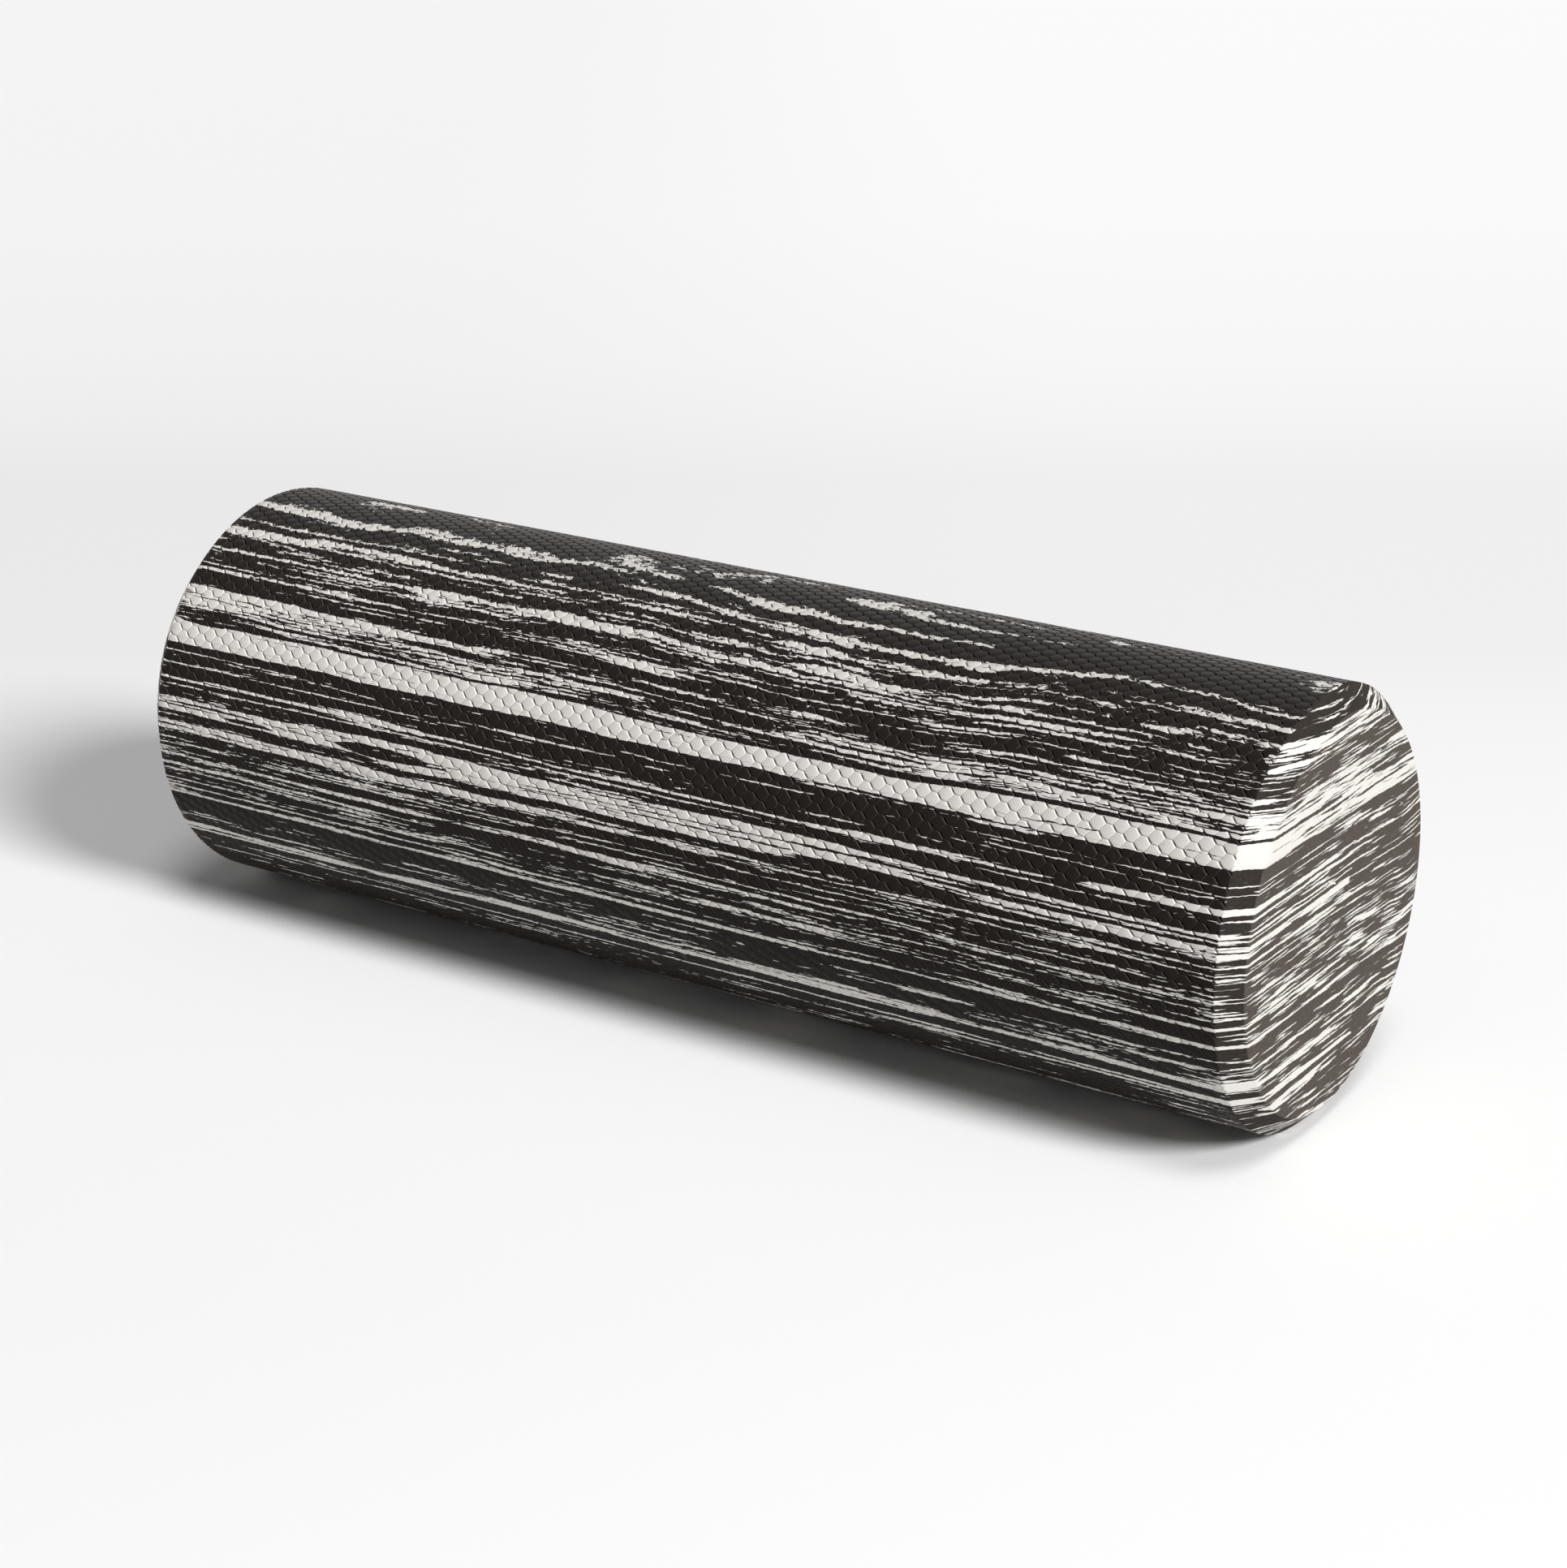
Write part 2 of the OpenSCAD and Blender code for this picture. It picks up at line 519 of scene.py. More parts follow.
# A sheet has the tone of its layers at each height, their wave along the roller, a height that stays still,
# and drawn streaks and patches. coarse is how thick its fine lines are.
UPPER = {
    "seed": 1.0,
    "coarse": 1.0,
    "strata": ((33, 1), (41.6, 1), (42.2, 0), (45, -0.15), (47, 0.1), (49, 0), (51, -0.15), (52.5, -0.3),
               (53.5, -0.5), (57, -0.55), (59, -0.3), (61, -0.5), (63, -0.2), (65, -0.3), (67, -0.4),
               (69, -0.5), (71, -0.6), (73, -0.65), (75, -0.75), (79, -0.8)),
    "wave": ((-222, 0.8), (-110, -0.2), (-40, 0.3), (0, -0.4), (50, -1.2), (90, -1.4), (125, -0.2),
             (150, 0.6), (222, 0.3)),
    "still": 36,
    "drawn": (
        # Dark cap, pale and dark patches of the near end
        lens(LIGHT, (230, -20, 66), (10, 36, 3.0), 0.3),
        lens(LIGHT, (224, -43, 63.5), (6, 14, 1.6), 0.35),
        lens(LIGHT, (230, -38, 60.5), (9, 22, 1.6), 0.3),
        lens(LIGHT, (230, -30, 44.5), (9, 36, 2.4), 0.35),
        lens(DARK, (228, -10, 76.5), (75, 45, 8.5)),
        lens(DARK, (230, -20, 77), (30, 52, 9.2)),
        lens(DARK, (230, 32, 57), (40, 26, 3.6)),
        lens(DARK, (230, 40, 44), (40, 20, 2.8)),
        # Wavy streaks on the top
        streak(LIGHT, (-222, 76.7, 0.35), (-200, 76.3, 0.4), (-185, 76.1, 0.5), (-175, 75.6, 0.5),
               (-163, 75.6, 0.45), (-155, 76.15, 0.3), (-140, 76.5, 0.5), (-125, 76.3, 0.5),
               (-110, 76.1, 0.5), (-95, 76.1, 0.65), (-80, 75.95, 0.5), (-65, 76.5, 0.45),
               (-55, 76.8, 0.35), (-40, 76.65, 0.3), (-28, 76.35, 0.2), (-20, 76.3, -0.3)),
        streak(LIGHT, (-18, 76.0, -0.2), (-5, 75.9, 0.12), (5, 75.45, 0.3), (15, 75.1, 0.6),
               (25, 75.1, 0.4), (40, 74.9, 0.4), (52, 74.4, 0.45), (62, 74.45, 0.25), (75, 74.5, 0.2),
               (90, 74.6, 0.15), (110, 74.75, 0.12), (118, 74.8, -0.3)),
        streak(LIGHT, (-80, 73.25, -0.2), (-70, 73.3, 0.25), (-55, 73.45, 0.15), (-40, 73.8, 0.25),
               (-20, 73.3, 0.45), (0, 72.55, 0.5), (25, 71.9, 0.6), (50, 71.4, 0.45), (75, 71.0, 0.4),
               (95, 70.8, 0.45), (110, 71.1, 0.85), (120, 71.65, 0.7), (132, 72.2, 0.6), (145, 73.0, 0.4),
               (155, 73.65, 0.2), (170, 73.65, 0.08), (178, 73.7, -0.2)),
        streak(LIGHT, (172, 73.6, -0.2), (180, 73.6, 0.08), (195, 73.35, 0.12), (205, 72.5, 0.15),
               (219, 72.3, 0.25), (222.5, 72.3, -0.4)),
        streak(LIGHT, (160, 70.9, -0.2), (175, 70.85, 0.12), (195, 70.75, 0.25), (210, 70.2, 0.35),
               (220, 69.9, 0.3), (223, 69.9, -0.4)),
        streak(LIGHT, (-65, 76.0, -0.2), (-58, 76.0, 0.1), (-45, 76.1, 0.15), (-40, 76.1, -0.3)),
        streak(LIGHT, (-205, 72.8, -0.2), (-195, 72.8, 0.1), (-120, 72.8, 0.1), (-110, 72.8, -0.2)),
        # Eye of pale foam on the top
        lens(LIGHT, (92, 0, 76.5), (44, 8.0, 6)),
        lens(DARK, (98, 0.5, 76.5), (41, 6.2, 6)),
        lens(LIGHT, (56, -1.5, 76.5), (18, 3.8, 6)),
        lens(DARK, (62, 1.0, 76.5), (7, 1.2, 6)),
        lens(LIGHT, (-172, 8, 77), (15, 2.4, 6), 0.4),
        lens(LIGHT, (141, 7, 76.5), (5, 2.0, 6)),
        lens(LIGHT, (217, 3, 76.2), (3, 2.5, 6)),
        # Streaks of the upper front
        streak(LIGHT, (-222, 70.2, 0.6), (-207, 70.3, 0.9), (-190, 70.3, 0.8), (-165, 70.5, 1.2),
               (-150, 70.4, 1.2), (-130, 70.6, 0.8), (-115, 70.2, 0.4), (-95, 70.4, 0.35),
               (-75, 70.05, 0.2), (-65, 70.0, -0.3)),
        streak(LIGHT, (-150, 69.05, -0.1), (-115, 68.85, 0.25), (-85, 68.9, 0.15), (-60, 69.1, 0.15),
               (-40, 69.9, 0.12), (-30, 70.4, 0.3), (0, 70.3, 0.25), (10, 69.95, 0.2), (20, 69.35, 0.1),
               (28, 69, -0.2)),
        streak(LIGHT, (-70, 71.4, -0.1), (-50, 71.55, 0.2), (-25, 71.45, 0.2), (0, 71.5, 0.1),
               (15, 71.0, -0.2)),
        streak(LIGHT, (25, 68.1, -0.2), (35, 68.4, 0.25), (45, 68.35, 0.4), (53, 68.1, 0.7),
               (62, 67.65, 0.25), (75, 66.6, 0.2), (88, 66.9, 0.2), (98, 67.6, 0.3), (110, 68.1, 0.3),
               (117, 68.2, -0.3)),
        streak(LIGHT, (-222, 65.2, 0.2), (-180, 64.9, 0.25), (-160, 64.95, 0.3), (-135, 64.3, 0.3),
               (-120, 64.1, 0.9), (-110, 63.7, 1.5), (-100, 64.2, 0.9), (-85, 64.1, 0.6),
               (-65, 63.85, 0.8), (-45, 63.7, 0.9), (-20, 63.65, 0.8), (0, 63.35, 0.6), (15, 62.9, 0.5),
               (35, 62.3, 0.4), (55, 61.8, -0.2)),
        streak(LIGHT, (35, 64, -0.2), (42, 63.95, 0.2), (50, 63.75, 0.9), (65, 63.5, 1.0),
               (78, 63.0, 0.6), (90, 63.35, 0.3), (105, 63.6, -0.2)),
        streak(LIGHT, (65, 59.8, -0.2), (75, 59.85, 0.5), (95, 59.9, 0.5), (110, 60.1, 0.6),
               (125, 60.9, 0.6), (150, 61.55, 0.55), (170, 61.8, 0.3), (185, 62, -0.2)),
        lens(LIGHT, (180, -37, 65.3), (8, 12, 0.7)),
        streak(LIGHT, (-222, 59.05, 0.5), (-190, 59.0, 0.6), (-165, 58.9, 0.5), (-140, 58.8, 0.35),
               (-95, 58.4, 0.25), (-50, 58.2, 0.15), (-20, 57.0, 0.2), (10, 56.6, -0.2)),
        streak(LIGHT, (-60, 56.5, -0.2), (-50, 56.4, 0.15), (-20, 56.3, 0.35), (0, 55.8, 0.3),
               (15, 55.4, 0.2), (30, 55.2, -0.2)),
        streak(LIGHT, (-222, 52.2, 0.9), (-190, 52.3, 1.1), (-160, 51.9, 1.0), (-130, 51.7, 0.9),
               (-105, 51.2, 0.8), (-85, 50.6, 0.7), (-65, 49.7, 0.4), (-50, 49.3, -0.3)),
        streak(DARK, (-222, 55.3, 0.9), (-180, 55.1, 1.3), (-120, 55.15, 1.2), (-60, 54.1, 0.8),
               (-20, 53.5, 1.0), (0, 53.1, 0.7), (25, 52.8, -0.3)),
        streak(DARK, (-160, 60.4, -0.2), (-150, 60.4, 0.4), (-110, 60.2, 0.8), (-50, 60.1, 0.9),
               (0, 59.5, 0.6), (30, 59.2, -0.3)),
        # Dark line along the top of the pale band
        streak(DARK, (-222, 43.2, 0.5), (-205, 43.1, 1.6), (-190, 43.3, 1.4), (-170, 42.95, 0.9),
               (-150, 42.5, 0.4), (-100, 42.3, 0.3), (-60, 42.6, 0.5), (-35, 42.8, 0.9), (0, 41.9, 1.2),
               (25, 41.55, 1.1), (50, 40.9, 0.7), (75, 41.0, 1.0), (100, 41.1, 1.0), (125, 42.1, 0.8),
               (150, 42.6, 0.8), (200, 42.6, 0.6), (222, 42.1, 0.5)),
    ),
}

MIDDLE = {
    "seed": 2.0,
    "coarse": 1.35,
    "strata": ((-28, -1), (-25.6, -1), (-25.2, -0.3), (-23.5, -0.25), (-22, -0.35), (-20, -0.45),
               (-18.5, -0.5), (-16, -0.2), (-13, -0.5), (-11, -0.5), (-9, -0.25), (-7, -0.4), (-5, -0.5),
               (-2, -0.45), (0, -0.6), (2, -0.3), (5, -0.35), (7, -0.4), (9, -0.2), (14, -0.2),
               (16, -0.6), (17.5, -0.7), (19, -0.4), (22, -0.5), (24, -0.75), (27.5, -0.65), (29, -0.8),
               (33.9, -0.8), (34.3, 1), (38, 1)),
    "wave": ((-222, 0.4), (-150, 0.2), (-105, -0.4), (-75, 0.3), (0, -0.1), (75, -0.3), (110, 0.2),
             (160, -0.2), (222, 0)),
    "still": 34,
    "drawn": (
        streak(LIGHT, (-222, 22.3, 0.7), (-205, 22.2, 0.7), (-180, 22.3, 0.55), (-160, 22.0, 0.4),
               (-135, 22.1, 0.7), (-115, 22.05, 0.9), (-90, 21.7, 0.4), (-60, 21.4, 0.3),
               (-30, 20.7, 0.35), (0, 20.95, 0.4), (40, 20.7, 0.3), (75, 20.6, 0.5), (95, 20.9, 1.1),
               (120, 21.05, 0.8), (150, 21.0, 0.8), (165, 21.2, 0.2), (180, 21.5, 0.9), (222, 21.6, 0.9)),
        streak(LIGHT, (-222, 19.8, 0.3), (-180, 19.5, 0.25), (-100, 19.8, 0.2), (-50, 19.2, 0.25),
               (-10, 18.8, 0.3), (25, 18.9, 0.2), (100, 18.8, -0.1), (165, 18.7, 0.3), (222, 18.7, 0.4)),
        # Thin lines in the dark layer under the pale band
        streak(LIGHT, (-222, 31.7, 0.15), (-165, 31.4, 0.15), (-150, 31.3, -0.2)),
        streak(LIGHT, (-222, 27.3, 0.15), (-120, 26.9, 0.2), (-60, 26.85, 0.25), (-50, 26.8, 0.2),
               (-46, 26.8, -0.2)),
        streak(LIGHT, (-85, 28.4, -0.2), (-75, 28.4, 0.2), (-47, 28.3, 0.4), (-25, 28.2, 0.35),
               (-14, 28.3, 0.15), (-10, 28.3, -0.2)),
        streak(LIGHT, (115, 29.6, -0.2), (125, 29.6, 0.12), (170, 29.3, 0.15), (222, 29.2, 0.12)),
        streak(LIGHT, (130, 27.2, -0.2), (145, 27.1, 0.15), (222, 26.5, 0.15)),
        streak(LIGHT, (70, 1.4, -0.2), (80, 1.4, 0.15), (222, 1.4, 0.15)),
        # Pale layer with dark lenses in it
        streak(LIGHT, (-222, 12.2, 2.5), (-190, 12.0, 2.5), (-150, 12.2, 2.8), (-120, 12.7, 3.6),
               (-105, 11.7, 4.4), (-85, 12.2, 3.7), (-50, 11.8, 3.4), (0, 11.95, 3.8), (50, 12.2, 4.0),
               (75, 12.5, 3.8), (100, 12.7, 2.8), (130, 11.9, 3.0), (175, 11.5, 3.2), (222, 11.3, 3.0)),
        lens(DARK, (-113, -76, 11.4), (21, 60, 2.3)),
        lens(DARK, (-177, -76, 10.8), (13, 50, 0.8)),
        streak(DARK, (-222, 13.1, 0.3), (-200, 13.1, 0.4), (-180, 12.9, 0.3), (-170, 12.8, -0.2)),
        streak(DARK, (-60, 11.8, -0.2), (-40, 12.0, 0.2), (0, 12.6, 0.2), (40, 12.9, 0.2),
               (75, 13.6, 0.25), (120, 13.1, 0.45), (222, 13.0, 0.45)),
        streak(DARK, (-85, 10.6, -0.2), (-60, 10.7, 0.2), (0, 10.9, 0.2), (50, 10.8, 0.2),
               (70, 10.7, -0.2)),
        streak(DARK, (100, 11.7, -0.2), (125, 11.5, 0.6), (175, 11.4, 0.8), (222, 11.4, 0.8)),
        lens(DARK, (90, -76, 9.2), (27, 50, 1.2)),
        streak(DARK, (-222, 7.6, 1.6), (-170, 7.3, 2.0), (-130, 6.8, 1.4), (-105, 6.05, 1.2),
               (-75, 7.0, 0.9), (-40, 6.7, 0.8), (0, 6.9, 0.8), (40, 7.0, 0.9), (75, 6.3, 0.7),
               (110, 6.7, 0.8), (150, 5.9, 1.1), (222, 5.6, 1.2)),
        streak(LIGHT, (-222, 3.9, 1.5), (-190, 4.0, 1.7), (-150, 3.6, 1.6), (-120, 3.45, 1.5),
               (-105, 3.0, 1.5), (-80, 3.3, 1.4), (-50, 3.7, 1.2), (-10, 3.4, 1.1), (25, 3.5, 1.0),
               (50, 3.3, 0.9), (75, 3.3, 0.5), (110, 3.8, 0.4), (150, 4.0, 0.6), (200, 4.1, 0.6),
               (222, 4.25, 0.6)),
        # Fine lines of the lower front
        streak(LIGHT, (-222, -3.4, 0.3), (-160, -3.5, 0.3), (-140, -4.0, 0.25), (-60, -4.0, 0.25),
               (-50, -4.0, -0.2)),
        streak(LIGHT, (-160, -1.8, -0.2), (-150, -1.9, 0.15), (-50, -2.0, 0.15), (0, -1.3, 0.15),
               (100, -0.4, 0.15), (115, -0.3, -0.2)),
        streak(LIGHT, (0, -5.5, -0.2), (10, -5.6, 0.2), (110, -5.9, 0.2), (120, -6, -0.2)),
        streak(LIGHT, (-222, -7.65, 0.35), (-190, -7.9, 0.4), (-160, -8.3, 0.6), (-130, -8.2, 0.7),
               (-100, -8.55, 0.7), (-75, -8.4, 0.4), (-40, -7.9, 0.5), (-10, -8.3, 0.8), (30, -8.2, 0.5),
               (60, -8.6, 0.5), (75, -8.7, 0.3), (100, -8.6, -0.1), (130, -8.5, 0.15), (175, -8.4, 0.2),
               (222, -8.0, 0.25)),
        streak(LIGHT, (-222, -11.9, 0.45), (-140, -12.0, 0.35), (-100, -12.1, 0.1), (-85, -12.1, -0.2)),
        streak(LIGHT, (-222, -14.1, 0.25), (-110, -14.2, 0.25), (-95, -14.2, -0.2)),
        streak(LIGHT, (85, -14.5, -0.2), (100, -14.5, 0.3), (130, -14.5, 0.3), (140, -14.6, -0.2)),
        streak(LIGHT, (140, -17.4, -0.2), (150, -17.4, 0.4), (222, -17.4, 0.45)),
        streak(LIGHT, (-222, -18.3, 0.2), (-150, -18.3, 0.2), (-125, -18.3, 0.3), (-95, -18.3, 0.3),
               (-85, -18.3, -0.2)),
        streak(LIGHT, (-222, -21.2, 0.3), (-100, -21.2, 0.3), (-75, -21.5, 0.35), (0, -21.7, 0.35),
               (40, -21.8, 0.2), (60, -21.9, -0.2)),
        LOWER_LINE,
        # Broad dark patch of the near end
        lens(DARK, (228, 46, 9), (40, 38, 14)),
    ),
}

LOWER = {
    "seed": 3.0,
    "coarse": 1.6,
    "strata": ((-77, -0.6), (-70, -0.55), (-66, -0.45), (-62, -0.55), (-58, -0.85), (-54, -0.7),
               (-51.5, -0.35), (-49, -0.7), (-46, -0.7), (-45.3, -0.8), (-43.2, -0.8), (-42.5, -0.3),
               (-40, -0.35), (-38.5, -0.6), (-36.5, -0.65), (-34, -0.45), (-29.4, -0.5), (-28.6, -1),
               (-25.6, -1), (-25.2, -0.3), (-23, -0.25)),
    "wave": ((-222, 0.2), (-150, -0.1), (-90, 0.2), (0, -0.1), (75, -0.1), (140, 0.1), (222, -0.4)),
    "still": -26,
    "drawn": (
        LOWER_LINE,
        streak(LIGHT, (-125, -35.6, -0.2), (-115, -35.4, 0.2), (-75, -35.1, 0.2), (-40, -37.2, 0.25),
               (-25, -37.6, 0.3), (-10, -37.8, -0.2)),
        streak(LIGHT, (30, -38.5, -0.2), (40, -38.5, 0.4), (75, -38.5, 0.4), (85, -38.5, -0.2)),
        streak(LIGHT, (80, -31.3, -0.2), (90, -31.3, 0.3), (125, -31.3, 0.35), (135, -31.3, -0.2)),
        streak(LIGHT, (-222, -40.5, 0.8), (-190, -40.5, 1.0), (-150, -40.8, 0.9), (-120, -40.9, 1.1),
               (-90, -40.4, 1.4), (-50, -40.55, 1.4), (0, -40.9, 1.3), (50, -40.75, 1.5),
               (75, -40.9, 1.6), (100, -40.7, 1.4), (140, -40.6, 0.9), (175, -40.7, 0.7),
               (200, -41.2, 0.8), (222, -41.5, 1.0)),
        streak(LIGHT, (-222, -42.2, 0.4), (-150, -42.2, 0.4), (-100, -42.0, 0.4), (-80, -41.9, -0.2)),
        streak(LIGHT, (-200, -46.7, -0.2), (-180, -46.7, 0.2), (-100, -46.9, 0.2), (0, -47, 0.25),
               (50, -46.7, 0.3), (100, -46.7, 0.4), (160, -47, 0.4), (222, -47.4, 0.6)),
        streak(LIGHT, (85, -49, -0.2), (100, -49, 0.4), (150, -49.2, 0.5), (222, -48.5, 0.8)),
        lens(LIGHT, (230, -28, -53.5), (9, 20, 1.8)),
    ),
}

# Tilt of the sheets about the roller's axis
SHEET_TURN = math.asin(glue_faces("upper_bond")[2].y)

# Noise of the foam: its size along, across and up in millimetres, its own part of the seed and its detail
WAVE = ((150, 70, 60), 0, 1.0)
RIPPLE = ((22, 16, 14), 1, 2.0)
RAG = ((2.4, 1.6, 0.8), 2, 1.0)
GROUPS = ((200, 45, 5), 3, 2.0)
FINE = ((100, 50, 1.2), 4, 2.0)
THREADS = ((34, 24, 0.6), 5, 1.0)
FAR_WAVE = ((130, 50, 90), 6, 1.0)
GRAIN = ((0.45, 0.45, 0.45), 7, 2.0)
FIBRES = ((12, 40, 0.5), 8, 2.0)
MOTTLE = ((1.3, 1.3, 0.9), 9, 2.0)
DASHES = ((3.5, 3.0, 0.5), 10, 1.0)
FLECKS = ((30, 16, 0.7), 11, 1.0)
UNEVEN_END = ((60, 60, 3), 12, 1.0)

# How far noise moves the layers up and down, and the share of the ripple that drawn shapes follow
WAVE_RISE = 1.5
FAR_WAVE_RISE = 9.0
RIPPLE_RISE = 1.2
DRAWN_RIPPLE = 0.4
# How far the fine lines and the drawn shapes are out of line from one cell to the next
CELL_JOG = 0.12
DRAWN_JOG = 0.08
# Ragged edges: their reach on the front and on the top, the heights between the two, and how many times
# as far they reach along and across a patch
RAG_FRONT = 0.5
RAG_TOP = 1.1
RAG_HEIGHTS = (52.0, 70.0)
RAG_STRETCH = 5.0
# Height over which the layers' wave grows from a sheet's still height
STILL_REACH = 8.0
# Back of the roller: where it begins and is full, across, and how far drawn streaks move along there
BACK = (-5.0, 60.0)
BACK_SHIFT = 110.0
# Gap in the drawn streaks behind the top: where it begins and stops, across, how much thinner half a streak
# gets there, and how uneven the gap is on cut faces
GAP_START = (2.0, 9.0)
GAP_STOP = (30.0, 45.0)
GAP_THINNER = 3.0
GAP_UNEVEN = 90.0
# Where the pale layers of cut faces fade, across, and by how much
FADE = (-58.0, -25.0)
FADE_SHARE = 0.8

# Weight of the fine lines, as one value or as one on the side and one on cut faces
FINE_WEIGHT = 2.4
THREADS_WEIGHT = 3.0
FIBRES_WEIGHT = (0.9, 1.7)
DASHES_WEIGHT = (1.1, 0.3)
FLECKS_WEIGHT = (0.0, 2.2)
# How sharp the edges of drawn shapes are, and the weight of fine lines in light and dark ones
EDGE_SHARPNESS = 4.0
LINES_IN_LIGHT = 1.2
LINES_IN_DARK = 0.8
# How much lighter cut faces are, and how soft light meets dark on the side and on cut faces
CUT_LIGHTER = 0.12
SOFTNESS = (0.06, 0.10)

# Where the zones of the surface begin and are full: round the rim, short of the end, and in depth
RIM_SOFTNESS = 0.1
END_SHORT = (0.6, 0.2)
GROOVE_DEPTHS = (0.20, 0.55)
PAD_RIM_DEPTHS = (0.05, 0.12)

# Dark and light foam on the embossed side, on the bevels and on the ends
EMBOSSED_DARK = (0.0135, 0.0103, 0.0087, 1)
EMBOSSED_LIGHT = (0.59, 0.568, 0.536, 1)
BEVEL_DARK = (0.032, 0.0262, 0.0226, 1)
BEVEL_LIGHT = (0.69, 0.67, 0.633, 1)
END_DARK = (0.078, 0.0645, 0.0555, 1)
END_LIGHT = (0.67, 0.65, 0.61, 1)
WHITE = (1, 1, 1, 1)
# Painted shade in the grooves, a painted highlight and a painted white highlight on the pads' rims, mottle
# of dark cut foam and tint of the glue
GROOVE_PAINTED_SHADE = 0.65
RIM_PAINTED_HIGHLIGHT = 0.25
RIM_PAINTED_WHITE = 0.022
MOTTLE_STRENGTH = 0.9
GLUE_TINT = 0.8
# Finish of the foam: roughness on the side and on cut faces, what its grain adds, gloss, sheen and bumps
ROUGHNESS = (0.35, 0.75)
GRAIN_ROUGHNESS = 0.25
GLOSS = 0.05
SHEEN = 0.003
SHEEN_ROUGHNESS = 0.5
BUMP_STRENGTH = 0.5
BUMP_DEPTH = 0.06 * MM


def layer_tone(g, height, strata):
    """How light the foam is at a height in the block, from -1, dark, to 1, light."""
    low = strata[0][0]
    span = strata[-1][0] - low
    place = g.math("MULTIPLY_ADD", height, 1 / span, -low / span)
    stops = [((level - low) / span, (tone + 1) / 2) for level, tone in strata]
    return g.math("MULTIPLY_ADD", g.ramp(place, stops), 2.0, -1.0)


def layer_wave(g, along, knots):
    """How far the layers rise or dip at a place along the roller."""
    share = g.math("MULTIPLY_ADD", along, 0.5 / KNOT_REACH, 0.5)
    points = [(0.5 + 0.5 * place / KNOT_REACH, 0.5 + rise / WAVE_SPAN) for place, rise in knots]
    line = g.curves(share, points)[0]
    return g.math("MULTIPLY_ADD", line, WAVE_SPAN, -WAVE_SPAN / 2)


def streak_depth(g, along, height, knots, low, span):
    """How far inside a drawn streak a place lies, and under zero outside it."""
    share = g.math("MULTIPLY_ADD", along, 0.5 / KNOT_REACH, 0.5)
    places = [0.5 + 0.5 * knot[0] / KNOT_REACH for knot in knots]
    heights = [(place, (knot[1] - low) / span) for place, knot in zip(places, knots)]
    half_span = HALF_MAX - HALF_MIN
    halves = [(place, (knot[2] - HALF_MIN) / half_span) for place, knot in zip(places, knots)]
    line, half = g.curves(share, heights, halves)
    line = g.math("MULTIPLY_ADD", line, span, low)
    half = g.math("MULTIPLY_ADD", half, half_span, HALF_MIN)
    away = g.math("ABSOLUTE", g.math("SUBTRACT", height, line))
    return g.math("SUBTRACT", half, away)


def lens_depth(g, place, centre, reach):
    """How far inside a drawn lens a place lies, by its height, and under zero outside it."""
    near = g.node("Mapping", {"Vector": place, "Location": centre, "Scale": reach},
                  vector_type="TEXTURE").outputs[0]
    return g.math("MULTIPLY_ADD", g.length(near), -reach[2], reach[2])


def surface_zones(g, place):
    """How far a place is on a cut face, on an end, in a groove and on a pad's rim, each from 0 to 1."""
    x, y, z = g.split(place)
    outwards = g.math("ABSOLUTE", x)
    cut_face = g.ease(outwards, NEAR_RIM - RIM_SOFTNESS, NEAR_RIM + RIM_SOFTNESS)
    end_face = g.ease(outwards, NEAR_END - END_SHORT[0], NEAR_END - END_SHORT[1])
    radius = g.length(g.join(0.0, y, z))
    sunk = g.ease(radius, SIDE_RADIUS - GROOVE_DEPTHS[0], SIDE_RADIUS - GROOVE_DEPTHS[1])
    off_pad = g.ease(radius, SIDE_RADIUS - PAD_RIM_DEPTHS[0], SIDE_RADIUS - PAD_RIM_DEPTHS[1])
    embossed = g.math("SUBTRACT", 1.0, cut_face)
    groove = g.math("MULTIPLY", sunk, embossed)
    pad_rim = g.math("MULTIPLY", g.math("SUBTRACT", off_pad, sunk), embossed)
    return cut_face, end_face, groove, pad_rim


def fine_lines(g, place, sheet, cut_face):
    """Fine lines of light and dark foam that follow the layers, about zero."""
    seed = sheet["seed"]
    coarse = sheet["coarse"]
    fine = g.math("MULTIPLY", g.noise(place, FINE, seed, coarse), FINE_WEIGHT)
    threads = g.math("MULTIPLY", g.noise(place, THREADS, seed, coarse), THREADS_WEIGHT)
    fibres = g.math("MULTIPLY", g.noise(place, FIBRES, seed, coarse), g.between(cut_face, *FIBRES_WEIGHT))
    dashes = g.math("MULTIPLY", g.noise(place, DASHES, seed), g.between(cut_face, *DASHES_WEIGHT))
    flecks = g.math("MULTIPLY", g.noise(place, FLECKS, seed), g.between(cut_face, *FLECKS_WEIGHT))
    return g.total(fine, threads, fibres, dashes, flecks)


def draw_shapes(g, lightness, lines, sheet, along, gap, place):
    """Lays a sheet's drawn streaks and patches over the lightness of its layers."""
    height = g.split(place)[2]
    low = sheet["strata"][0][0]
    span = sheet["strata"][-1][0] - low
    for tone, kind, data in sheet["drawn"]:
        if kind == "streak":
            depth = g.math("SUBTRACT", streak_depth(g, along, height, data[0], low, span), gap)
        else:
            depth = lens_depth(g, place, data[0], data[1])
        depth = g.math("MINIMUM", g.math("MULTIPLY", depth, EDGE_SHARPNESS), data[-1])
        if tone == LIGHT:
            shape = g.math("MULTIPLY_ADD", lines, LINES_IN_LIGHT, depth)
            lightness = g.math("MAXIMUM", lightness, shape)
        else:
            shape = g.math("MULTIPLY_ADD", lines, LINES_IN_DARK, g.math("MULTIPLY", depth, -1.0))
            lightness = g.math("MINIMUM", lightness, shape)
    return lightness


